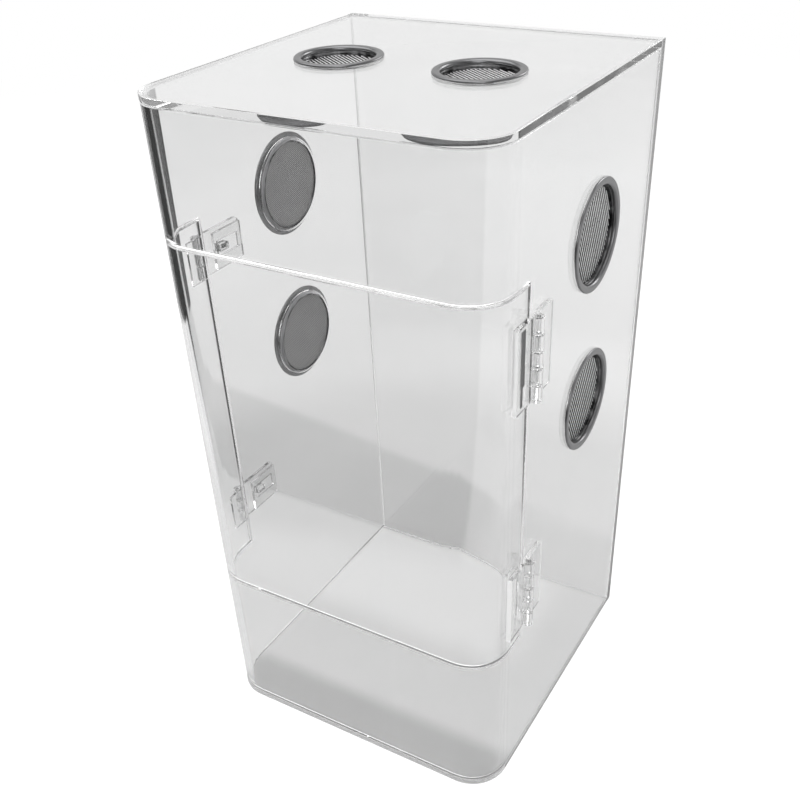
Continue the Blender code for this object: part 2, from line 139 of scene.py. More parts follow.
class Graph:
    """A node tree that is built through one method."""

    def __init__(self, tree: bpy.types.NodeTree) -> None:
        """Hold an empty tree."""
        self.tree = tree
        self.tree.nodes.clear()

    def node(self, kind: str, settings: dict[str, Any] | None = None,
             values: dict[str | int, Any] | None = None, output: str | int = 0) -> Term:
        """Add a node.

        Args:
            kind: The node's type.
            settings: Its own settings, which are set first; stops are a colour ramp's.
            values: Numbers, colours or terms for its input sockets, by name or place.
            output: The output that the returned term stands for.

        Returns:
            The term of that output.
        """
        made = self.tree.nodes.new(kind)
        for name, setting in (settings or {}).items():
            if name == "stops":
                self._set_stops(made.color_ramp, setting)
            else:
                setattr(made, name, setting)
        for name, value in (values or {}).items():
            if isinstance(value, Term):
                self.tree.links.new(value.socket, made.inputs[name])
            else:
                made.inputs[name].default_value = value
        return Term(self, made.outputs[output] if made.outputs else None)

    @staticmethod
    def _set_stops(ramp: bpy.types.ColorRamp, stops: list[tuple[float, float]]) -> None:
        """Give a ramp its grey stops, as places and levels."""
        while len(ramp.elements) < len(stops):
            ramp.elements.new(1.0)
        for element, (place, level) in zip(ramp.elements, stops):
            element.position = place
            element.color = (level, level, level, 1)

    def maths(self, operation: str, *terms: Any) -> Term:
        """Add a Math node on terms or numbers."""
        return self.node("ShaderNodeMath", {"operation": operation}, dict(enumerate(terms)))

    def parts(self, vector: Term) -> tuple[Term, Term, Term]:
        """Split a vector into its three numbers."""
        across = self.node("ShaderNodeSeparateXYZ", values={"Vector": vector})
        return across, across.output("Y"), across.output("Z")

    def vector(self, across: Any, along: Any, height: Any) -> Term:
        """Make a vector of three numbers or terms."""
        return self.node("ShaderNodeCombineXYZ", values={0: across, 1: along, 2: height})

    def blend(self, share: Any, low: Any, high: Any) -> Term:
        """Mix two colours by a share."""
        return self.node("ShaderNodeMix", {"data_type": "RGBA"}, {0: share, 6: low, 7: high}, 2)


class Recipe(Graph):
    """A Geometry Nodes tree with named sizes, used once on a draft object."""

    def __init__(self, name: str, sizes: dict[str, float | int]) -> None:
        """Start a tree whose inputs are a geometry, a finish and the sizes.

        Args:
            name: The tree's name.
            sizes: Each named size and its value; a whole number makes a whole number input.
        """
        super().__init__(bpy.data.node_groups.new(name, "GeometryNodeTree"))
        face = self.tree.interface
        face.new_socket("Geometry", in_out="INPUT", socket_type="NodeSocketGeometry")
        face.new_socket("Geometry", in_out="OUTPUT", socket_type="NodeSocketGeometry")
        face.new_socket("Finish", in_out="INPUT", socket_type="NodeSocketMaterial")
        self.sizes = sizes
        for size, value in sizes.items():
            kind = "NodeSocketInt" if isinstance(value, int) else "NodeSocketFloat"
            face.new_socket(size, in_out="INPUT", socket_type=kind)
        self.source = self.tree.nodes.new("NodeGroupInput")

    def size(self, name: str) -> Term:
        """Return the term of a named input."""
        return Term(self, self.source.outputs[name])

    def close(self, geometry: Term) -> None:
        """Realise the instances, set the finish and end the tree."""
        real = self.node("GeometryNodeRealizeInstances", values={"Geometry": geometry})
        dressed = self.node("GeometryNodeSetMaterial",
                            values={"Geometry": real, "Material": self.size("Finish")})
        end = self.tree.nodes.new("NodeGroupOutput")
        self.tree.links.new(dressed.socket, end.inputs["Geometry"])

    def make(self, blank: Mesh, finish: Material) -> Mesh:
        """Run the tree on a blank.

        Args:
            blank: The mesh that the tree starts from.
            finish: The material that it sets.

        Returns:
            The plain mesh that comes out.
        """
        draft = draft_object(self.tree.name, blank)
        step = draft.modifiers.new(self.tree.name, "NODES")
        step.node_group = self.tree
        for socket in self.tree.interface.items_tree:
            if socket.in_out != "INPUT" or socket.name == "Geometry":
                continue
            step[socket.identifier] = finish if socket.name == "Finish" else self.sizes[socket.name]
        return evaluated(draft)


def draft_object(name: str, mesh: Mesh) -> bpy.types.Object:
    """Put a construction shape in the scene."""
    draft = bpy.data.objects.new(name + "_draft", mesh)
    bpy.context.scene.collection.objects.link(draft)
    return draft


def evaluated(draft: bpy.types.Object) -> Mesh:
    """Return a draft's evaluated result as a plain mesh, and remove the draft."""
    bpy.context.view_layer.update()
    graph = bpy.context.evaluated_depsgraph_get()
    mesh = bpy.data.meshes.new_from_object(draft.evaluated_get(graph))
    bpy.data.objects.remove(draft, do_unlink=True)
    return mesh


def as_mesh(name: str, shape: bmesh.types.BMesh) -> Mesh:
    """Turn a bmesh into a mesh and free it."""
    mesh = bpy.data.meshes.new(name)
    shape.to_mesh(mesh)
    shape.free()
    return mesh


def closed(mesh: Mesh) -> Mesh:
    """Merge a mesh's doubles and turn its faces outward."""
    shape = bmesh.new()
    shape.from_mesh(mesh)
    bmesh.ops.remove_doubles(shape, verts=shape.verts, dist=WELD)
    bmesh.ops.recalc_face_normals(shape, faces=shape.faces)
    shape.to_mesh(mesh)
    shape.free()
    return mesh


def settled(mesh: Mesh, edge: float = 0.0, flat_share: int = 50) -> Mesh:
    """Round a mesh's edges and settle its shading, so flat faces look flat.

    Args:
        mesh: A closed mesh.
        edge: Width of the rounding, or zero for a mesh that has its own.
        flat_share: How far the largest face at a vertex sets its normal, from 50 to 100.

    Returns:
        The mesh with its normals settled.
    """
    closed(mesh).shade_smooth()
    if edge:
        draft = draft_object(mesh.name, mesh)
        rounding = draft.modifiers.new("rounding", "BEVEL")
        rounding.width = edge
        rounding.segments = 2
        rounding.limit_method = "ANGLE"
        rounding.angle_limit = BEVEL_TURN
        mesh = evaluated(draft)
    mesh.set_sharp_from_angle(angle=SHARP_TURN)
    draft = draft_object(mesh.name, mesh)
    shading = draft.modifiers.new("shading", "WEIGHTED_NORMAL")
    shading.mode = "FACE_AREA"
    shading.weight = flat_share
    shading.thresh = 5e-9
    shading.keep_sharp = True
    return evaluated(draft)


def solved(body: Mesh, tool: Mesh, how: Solver) -> Mesh:
    """Return one solid joined with, cut by, or shared with another."""
    tool_draft = draft_object("tool", tool)
    draft = draft_object(body.name, body)
    change = draft.modifiers.new(how.name.lower(), "BOOLEAN")
    change.operation = how.value
    change.solver = "EXACT"
    change.object = tool_draft
    mesh = closed(evaluated(draft))
    bpy.data.objects.remove(tool_draft, do_unlink=True)
    return mesh


def arc(centre: tuple[float, float], radius: float, start: float, end: float,
        steps: int) -> list[Vector]:
    """Return points along an arc, angles in degrees, both ends included."""
    across, up = centre
    points = []
    for step in range(steps + 1):
        angle = math.radians(start + (end - start) * step / steps)
        points.append(Vector((across + radius * math.cos(angle), up + radius * math.sin(angle))))
    return points


@dataclass(frozen=True)
class Disc:
    """A round outline."""

    centre: tuple[float, float]
    radius: float
    steps: int = 128

    def points(self, inset: float) -> list[Vector]:
        """Return the outline's points, drawn in by the inset."""
        return arc(self.centre, self.radius - inset, 0, 360, self.steps)[:-1]


@dataclass(frozen=True)
class RoundedBox:
    """A box outline, counter-clockwise from its low left corner, whose corners may be round."""

    left: float
    low: float
    right: float
    high: float
    radii: tuple[float, float, float, float] = (0.0, 0.0, 0.0, 0.0)
    steps: int = 48

    def points(self, inset: float) -> list[Vector]:
        """Return the outline's points, drawn in by the inset."""
        corners = ((self.left, self.low, 1, 1, 180), (self.right, self.low, -1, 1, 270),
                   (self.right, self.high, -1, -1, 0), (self.left, self.high, 1, -1, 90))
        points = []
        for (across, along, inward, upward, start), radius in zip(corners, self.radii):
            if radius:
                centre = (across + inward * radius, along + upward * radius)
                points += arc(centre, radius - inset, start, start + 90, self.steps)
            else:
                points.append(Vector((across + inward * inset, along + upward * inset)))
        return points


@dataclass(frozen=True)
class Freeform:
    """An outline given by its points, whose edges stay square."""

    path: tuple[Vector, ...]

    def points(self, inset: float) -> list[Vector]:
        """Return the outline's points; it is never drawn in."""
        return list(self.path)


Outline = Disc | RoundedBox | Freeform


def edge_profile(thickness: float, edge: float, rounds: int = 3) -> list[tuple[float, float]]:
    """Return the insets and heights up the side of a sheet with rounded edges."""
    if not edge:
        return [(0.0, 0.0), (0.0, thickness)]
    lower = []
    for step in range(rounds + 1):
        turn = math.pi / 2 * step / rounds
        lower.append((edge * (1 - math.sin(turn)), edge * (1 - math.cos(turn))))
    upper = [(inset, thickness - height) for inset, height in reversed(lower)]
    return lower + upper


def slab(outline: Outline, holes: list[Outline], thickness: float,
         edge: float = 0.0) -> bmesh.types.BMesh:
    """Make a closed flat sheet, its faces at Z zero and at the thickness.

    The straight part of its outer side is marked as cut wherever it runs upright on the outline.

    Args:
        outline: Its outer outline.
        holes: Outlines of the holes through it.
        thickness: The sheet's thickness.
        edge: Radius of the rounding along every edge.

    Returns:
        The sheet as a bmesh.
    """
    shape = bmesh.new()
    cut = shape.faces.layers.int.new(CUT)
    profile = edge_profile(thickness, edge)
    straight = len(profile) // 2 - 1
    caps: tuple[list, list] = ([], [])
    for path, sign in [(outline, 1)] + [(hole, -1) for hole in holes]:
        rings = []
        for inset, height in profile:
            rings.append([shape.verts.new((*point, height)) for point in path.points(sign * inset)])
        for level, (lower, upper) in enumerate(zip(rings, rings[1:])):
            for here, start in enumerate(lower):
                there = (here + 1) % len(lower)
                face = shape.faces.new((start, lower[there], upper[there], upper[here]))
                upright = abs(start.co.x - lower[there].co.x) < WELD
                face[cut] = int(sign > 0 and level == straight and upright)
        caps[0].append(rings[0])
        caps[1].append(rings[-1])
    for loops in caps:
        if holes:
            pairs = [(loop[place - 1], loop[place]) for loop in loops for place in range(len(loop))]
            edges = [shape.edges.get(pair) for pair in pairs]
            bmesh.ops.triangle_fill(shape, use_beauty=True, edges=edges)
        else:
            shape.faces.new(loops[0])
    bmesh.ops.recalc_face_normals(shape, faces=shape.faces)
    return shape


def block(low: tuple[float, float, float], high: tuple[float, float, float]) -> Mesh:
    """Make a square-edged cutter between two corners."""
    shape = slab(RoundedBox(low[0], low[1], high[0], high[1]), [], high[2] - low[2])
    mesh = as_mesh("block", shape)
    mesh.transform(Matrix.Translation((0, 0, low[2])))
    return mesh


def place_piece(name: str, mesh: Mesh, finish: "Finish", body: str, node: str,
                cut_finishes: "tuple[Finish, ...]" = ()) -> None:
    """Show a finished mesh in place of a node.

    Args:
        name: The new piece's name.
        mesh: Its mesh, in place.
        finish: What it is made of.
        body: The body that it moves with.
        node: The node that it stands for.
        cut_finishes: The finishes of the faces marked as cut, by their mark from one up.
    """
    mesh.materials.clear()
    for one in (finish, *cut_finishes):
        mesh.materials.append(one.material())
    if cut_finishes:
        for face, mark in zip(mesh.polygons, mesh.attributes[CUT].data):
            face.material_index = mark.value
    piece = bpy.data.objects.new(name, mesh)
    bpy.context.scene.collection.objects.link(piece)
    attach(piece, body)
    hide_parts(node)
    LOG.info("%s: %d faces", name, len(mesh.polygons))


def grey(level: float) -> tuple[float, float, float, float]:
    """Return a grey as a colour."""
    return level, level, level, 1.0


@dataclass
class Finish:
    """A finish that makes its material once and is shared by its pieces."""

    name: str
    slot: str
    made: Material | None = field(default=None, init=False, repr=False)

    def material(self) -> Material:
        """Return the finish's material."""
        if self.made is None:
            self.made = bpy.data.materials.new(self.name)
            self.made.use_nodes = True
            self.draw(Graph(self.made.node_tree))
        return self.made

    def draw(self, graph: Graph) -> None:
        """Draw the finish in a material's graph."""
        raise NotImplementedError


@dataclass
class ClearAcrylic(Finish):
    """Clear acrylic: a tinted, polished, very slightly wavy sheet with faint handling haze.

    Light that stays trapped between two faces leaves after a few turns, as it does at a real edge.
    Part of a face may be a flat diffuse coat of a set share and tone: on a saw-cut side it is the
    rough face with a dark painted shade, and on a welded end it is pale painted light.
    """

    tint: float = 0.96
    haze: float = 0.02
    haze_size: float = 0.05
    speck_share: float = 0.2
    smear_share: float = 0.6
    ripple: float = 0.02
    ripple_size: float = 0.06
    grain: float = 0.0
    trapped_after: float = 3.5
    trapped: float = 0.97
    frost_and_paint_share: float = 0.0
    frost_and_paint_tone: float = 0.25

    def draw(self, graph: Graph) -> None:
        """Draw the clear body, which lets lamps through."""
        place = graph.node("ShaderNodeTexCoord", output="Object")
        smear = graph.node("ShaderNodeTexNoise", values={
            "Vector": place, "Scale": 1 / self.haze_size, "Detail": 4.0, "Distortion": 0.6})
        speck = graph.node("ShaderNodeTexNoise", values={
            "Vector": place, "Scale": 12 / self.haze_size, "Detail": 2.0})
        stops = [(0.45, 0.0), (0.75, 1.0)]
        touched = graph.node("ShaderNodeValToRGB", {"stops": stops}, {0: smear})
        mixed = touched * (1 - self.speck_share) + speck * self.speck_share
        rough = self.grain + self.haze * mixed
        wave = graph.node("ShaderNodeTexNoise", values={
            "Vector": place, "Scale": 1 / self.ripple_size, "Detail": 1.0})
        bumped = graph.node("ShaderNodeBump", values={
            "Strength": self.ripple, "Distance": self.ripple_size / 10, "Height": wave})
        light = grey(self.tint)
        dim = (self.tint * 0.97, self.tint * 0.975, self.tint * 0.975, 1)
        clear = graph.node("ShaderNodeBsdfPrincipled", values={
            "Base Color": graph.blend(touched * self.smear_share, light, dim), "Roughness": rough,
            "IOR": ACRYLIC_IOR, "Transmission Weight": 1.0, "Normal": bumped})
        # Flat diffuse coat over part of the face: matt saw-cut sides with dark painted shade, pale
        # painted light on welded ends, and a near-black painted reflection on the upper hinge's
        # groove.
        if self.frost_and_paint_share:
            frost_and_paint = graph.node("ShaderNodeBsdfDiffuse", values={"Color": grey(self.frost_and_paint_tone)})
            clear = graph.node("ShaderNodeMixShader", values={0: self.frost_and_paint_share, 1: clear, 2: frost_and_paint})
        through = graph.node("ShaderNodeBsdfTransparent", values={"Color": grey(self.tint)})
        dimmed = graph.node("ShaderNodeBsdfTransparent", values={"Color": grey(self.trapped)})
        path = graph.node("ShaderNodeLightPath", output="Is Shadow Ray")
        held = path.output("Glossy Depth").does("GREATER_THAN", self.trapped_after)
        ended = graph.node("ShaderNodeMixShader", values={0: held, 1: clear, 2: dimmed})
        passes = path.does("MAXIMUM", path.output("Is Diffuse Ray"))
        surface = graph.node("ShaderNodeMixShader", values={0: passes, 1: ended, 2: through})
        graph.node("ShaderNodeOutputMaterial", values={"Surface": surface})


@dataclass
class TurnedMetal(Finish):
    """Dark plated metal, turned: fine rings, a matt outer tube, painted shade and glints in the
    bore.
    """

    dark: float = 0.10
    pale: float = 0.26
    tube_tone: float = 0.30
    bore_painted_shade: float = 0.02
    bore_painted_glint: float = 0.36
    ring_size: float = 0.00022
    band_size: float = 0.00045
    cloud_size: float = 1 / 140
    ring_share: float = 0.6
    smoothest: float = 0.20
    unevenness: float = 0.22
    tube_rough: float = 0.3
    tube_matt: float = 0.8

    def draw(self, graph: Graph) -> None:
        """Draw the turned rings from the piece's own lathe attribute."""
        lathe = graph.node("ShaderNodeAttribute", {"attribute_name": "lathe"}, output="Vector")
        radius, height, bore = graph.parts(lathe)
        travel = graph.vector(radius / self.ring_size, height / self.ring_size, 0.0)
        rings = graph.node("ShaderNodeTexNoise", values={
            "Vector": travel, "Scale": 1.0, "Detail": 3.0})
        place = graph.node("ShaderNodeTexCoord", output="Object")
        cloud = graph.node("ShaderNodeTexNoise", values={
            "Vector": place, "Scale": 1 / self.cloud_size, "Detail": 3.0})
        share = rings * self.ring_share + cloud * (1 - self.ring_share)
        level = self.dark + share * (self.pale - self.dark)
        # The bore is painted: near-black shade with pale stripes of painted reflection, banded along
        # its height.
        travel = graph.vector(height / self.band_size, cloud * 2.0, 7.0)
        bands = graph.node("ShaderNodeTexNoise", values={
            "Vector": travel, "Scale": 1.0, "Detail": 2.0})
        painted_streak = graph.node("ShaderNodeValToRGB", {"stops": [(0.40, 0.0), (0.62, 1.0)]}, {0: bands})
        painted_bore_tone = self.bore_painted_shade + painted_streak * (self.bore_painted_glint - self.bore_painted_shade)
        tube = height.does("LESS_THAN", 0.0) * (1 - bore)
        tone = level + bore * (painted_bore_tone - level) + tube * (self.tube_tone - level)
        colour = graph.vector(tone, tone, tone * 1.02)
        bumped = graph.node("ShaderNodeBump", values={
            "Strength": 0.25, "Distance": self.ring_size / 8, "Height": rings})
        rough = self.smoothest + share * self.unevenness + tube * self.tube_rough
        metal = graph.node("ShaderNodeBsdfPrincipled", values={
            "Base Color": colour, "Metallic": 1 - tube * self.tube_matt, "Roughness": rough,
            "Normal": bumped})
        graph.node("ShaderNodeOutputMaterial", values={"Surface": metal})


@dataclass
class DrawnWire(Finish):
    """Drawn steel wire: a painted highlight where its glint mark is set, painted shade elsewhere."""

    glint_low: float = 0.60
    glint_high: float = 0.95
    shade_low: float = 0.005
    shade_high: float = 0.02
    fine_size: float = 1 / 900
    broad_size: float = 1 / 90
    scratch: float = 0.00002
    metallic: float = 0.5
    sheen: float = 0.15
    roughest: float = 0.45
    unevenness: float = 0.2
    glint_polish: float = 0.25

    def draw(self, graph: Graph) -> None:
        """Draw the wire's uneven tone."""
        place = graph.node("ShaderNodeTexCoord", output="Object")
        fine = graph.node("ShaderNodeTexNoise", values={
            "Vector": place, "Scale": 1 / self.fine_size, "Detail": 2.0})
        broad = graph.node("ShaderNodeTexNoise", values={
            "Vector": place, "Scale": 1 / self.broad_size, "Detail": 2.0})
        share = fine * 0.5 + broad * 0.5
        # Painted highlight where the glint mark is one, painted shade near black where it is nought;
        # the noise is the wire's own uneven tone.
        painted_glint = graph.node("ShaderNodeAttribute", {"attribute_name": PAINTED_GLINT}, output="Fac")
        glinting_tone = self.glint_low + share * (self.glint_high - self.glint_low)
        shaded_tone = self.shade_low + share * (self.shade_high - self.shade_low)
        tone = shaded_tone + painted_glint * (glinting_tone - shaded_tone)
        colour = graph.vector(tone, tone, tone)
        bumped = graph.node("ShaderNodeBump", values={
            "Strength": 0.3, "Distance": self.scratch, "Height": fine})
        rough = self.roughest + share * self.unevenness - painted_glint * self.glint_polish
        wire = graph.node("ShaderNodeBsdfPrincipled", values={
            "Base Color": colour, "Metallic": self.metallic, "Roughness": rough,
            "Specular IOR Level": self.sheen, "Normal": bumped})
        graph.node("ShaderNodeOutputMaterial", values={"Surface": wire})


@dataclass
class SheetWork:
    """The cut and polished sheets of the case and its door."""

    finish: Finish
    sawn_and_shade: Finish
    cemented_and_lit: Finish
    corner_radius: float = 0.0178
    edge: float = 0.0004
    corner_steps: int = 48
    bend_ease: float = 0.008
    saw_cut: float = 0.0008
    vent_hole_step: float = 0.0023

    def build(self) -> None:
        """Make every sheet in turn."""
        self.build_plate("base_panel", [])
        cups = ("vent_cup_top_left", "vent_cup_top_right")
        self.build_plate("top_panel", [self.hole(cup) for cup in cups])
        self.build_back()
        self.build_shell()
        self.build_door()

    def hole(self, cup: str) -> Disc:
        """Return the hole in the top plate that a vent cup drops into."""
        low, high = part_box(cup)
        middle = (low + high) / 2
        return Disc((middle.x, middle.y), (high.x - low.x) / 2 - self.vent_hole_step)

    def build_plate(self, node: str, holes: list[Outline]) -> None:
        """Make a flat plate with round front corners."""
        low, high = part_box(node)
        rounds = (self.corner_radius, self.corner_radius, 0.0, 0.0)
        outline = RoundedBox(low.x, low.y, high.x, high.y, rounds, self.corner_steps)
        mesh = as_mesh(node, slab(outline, holes, high.z - low.z, self.edge))
        mesh.transform(Matrix.Translation((0, 0, low.z)))
        mesh = settled(mesh, flat_share=FLAT)
        place_piece(node + "_sheet", mesh, self.finish, "case", node, (self.sawn_and_shade,))

    def build_back(self) -> None:
        """Make the upright back plate."""
        low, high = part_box("back_panel")
        outline = RoundedBox(low.x, low.z, high.x, high.z)
        mesh = as_mesh("back_panel", slab(outline, [], high.y - low.y, self.edge))
        upright = Matrix.Rotation(math.pi / 2, 4, "X")
        mesh.transform(Matrix.Translation((0, high.y, 0)) @ upright)
        mesh = settled(mesh, flat_share=FLAT)
        place_piece("back_panel_sheet", mesh, self.finish, "case", "back_panel", (self.sawn_and_shade,))

    def run(self, low: Vector, high: Vector, rear: float) -> float:
        """Return how far along the blank a place on a side wall is, from the front's middle."""
        half_front = high.x - self.corner_radius
        return half_front + self.corner_radius * math.pi / 2 + rear - (low.y + self.corner_radius)

    def build_shell(self) -> None:
        """Make the bent sheet of the two sides and the front, with its window and vent holes."""
        low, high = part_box("body_shell")
        door_low, door_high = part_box("door_panel")
        reach = self.run(low, high, high.y)
        window_reach = self.run(low, high, door_high.y + self.saw_cut)
        window = RoundedBox(-window_reach, door_low.z - self.saw_cut,
                            window_reach, door_high.z + self.saw_cut)
        holes: list[Outline] = [window]
        for level in ("upper", "lower"):
            cup_low, cup_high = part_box(f"vent_cup_right_{level}")
            middle = (cup_low + cup_high) / 2
            radius = (cup_high.z - cup_low.z) / 2 - self.vent_hole_step
            along = self.run(low, high, middle.y)
            holes += [Disc((along, middle.z), radius), Disc((-along, middle.z), radius)]
        sheet = self.thickness()
        flat = slab(RoundedBox(-reach, low.z, reach, high.z), holes, sheet, self.edge)
        self.clear_bands(flat, window_reach + self.edge, sheet)
        self.bend("body_shell", flat, low, high, "case", (self.cemented_and_lit,))

    def thickness(self) -> float:
        """Return the thickness of the bent sheet, which is the base plate's."""
        low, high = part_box("base_panel")
        return high.z - low.z

    def clear_bands(self, flat: bmesh.types.BMesh, reach: float, sheet: float) -> None:
        """Make the bands over and under the window one face each, so that they bend cleanly."""
        for line in (-reach, reach):
            self.cut_line(flat, line)
        band = []
        for face in flat.faces:
            middle = face.calc_center_median()
            on_face = min(abs(middle.z), abs(middle.z - sheet)) < WELD
            if abs(middle.x) < reach and on_face:
                band.append(face)
        bmesh.ops.dissolve_faces(flat, faces=band)

    @staticmethod
    def cut_line(flat: bmesh.types.BMesh, line: float) -> None:
        """Cut a blank's faces along an upright line."""
        everything = list(flat.verts) + list(flat.edges) + list(flat.faces)
        bmesh.ops.bisect_plane(flat, geom=everything, dist=WELD, plane_co=(line, 0, 0),
                               plane_no=(1, 0, 0))

    def build_door(self) -> None:
        """Make the door from its own blank, bent the same way."""
        low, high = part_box("door_panel")
        shell_low, shell_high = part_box("body_shell")
        reach = self.run(shell_low, shell_high, high.y)
        flat = slab(RoundedBox(-reach, low.z, reach, high.z), [], self.thickness(), self.edge)
        self.bend("door_panel", flat, shell_low, shell_high, "door")

    def bend(self, node: str, flat: bmesh.types.BMesh, low: Vector, high: Vector, body: str,
             ends: tuple[Finish, ...] = ()) -> None:
        """Bend a flat blank round both front corners and show it.

        Args:
            node: The node that it stands for.
            flat: The blank, X along the sheet from the front's middle, Y its height, Z its depth.
            low: Low corner of the bent sheet's box.
            high: High corner of the bent sheet's box.
            body: The body that it rides on.
            ends: The finish of its two upright ends, where that differs, alone in a tuple.
        """
        half_front = high.x - self.corner_radius
        turn = self.corner_radius * math.pi / 2
        eased = turn + self.bend_ease
        for step in range(self.corner_steps + 1):
            line = half_front - self.bend_ease / 2 + eased * step / self.corner_steps
            self.cut_line(flat, line)
            self.cut_line(flat, -line)
        sizes = {"Half front": half_front, "Bend radius": self.corner_radius, "Front": low.y,
                 "Ease": self.bend_ease}
        recipe = self.bending_rule(sizes)
        mesh = recipe.make(as_mesh(node, flat), self.finish.material())
        place_piece(node + "_sheet", settled(mesh, flat_share=FLAT), self.finish, body, node, ends)

    @staticmethod
    def bending_rule(sizes: dict[str, float]) -> Recipe:
        """Draw the rule that wraps a flat blank round two upright corners.

        The bend sets in over the ease's length, as in a sheet bent warm: the blank is moved inward
        by the cubic that lets its curvature rise evenly there.

        Args:
            sizes: The half front, the outer face's bend radius, the front's place and the ease.

        Returns:
            The finished Geometry Nodes tree.
        """
        recipe = Recipe("bent_sheet", sizes)
        half_front, radius, front, ease = (recipe.size(name) for name in sizes)
        along, height, depth = recipe.parts(recipe.node("GeometryNodeInputPosition"))
        distance = along.does("ABSOLUTE")
        past = (distance - half_front).does("MAXIMUM", 0.0)
        turn = (past / radius).does("MINIMUM", math.pi / 2)
        straight = (past - radius * (math.pi / 2)).does("MAXIMUM", 0.0)
        into = distance - half_front
        into = into.does("MINIMUM", radius * (math.pi / 2) - into)
        share = (into / ease + 0.5).does("MAXIMUM", 0.0).does("MINIMUM", 1.0)
        rising = share.does("MINIMUM", 0.5).does("POWER", 3.0)
        levelling = (1 - share.does("MAXIMUM", 0.5)).does("POWER", 3.0)
        inward = ease * ease / (6 * radius) * (rising + 0.125 - levelling)
        inner = radius - depth - inward
        across = distance.does("MINIMUM", half_front) + turn.does("SINE") * inner
        rear = front + radius - turn.does("COSINE") * inner + straight
        wrapped = recipe.vector(across * along.does("SIGN"), rear, height)
        source = recipe.size("Geometry")
        bent = recipe.node("GeometryNodeSetPosition", values={
            "Geometry": source, "Position": wrapped})
        recipe.close(bent)
        return recipe


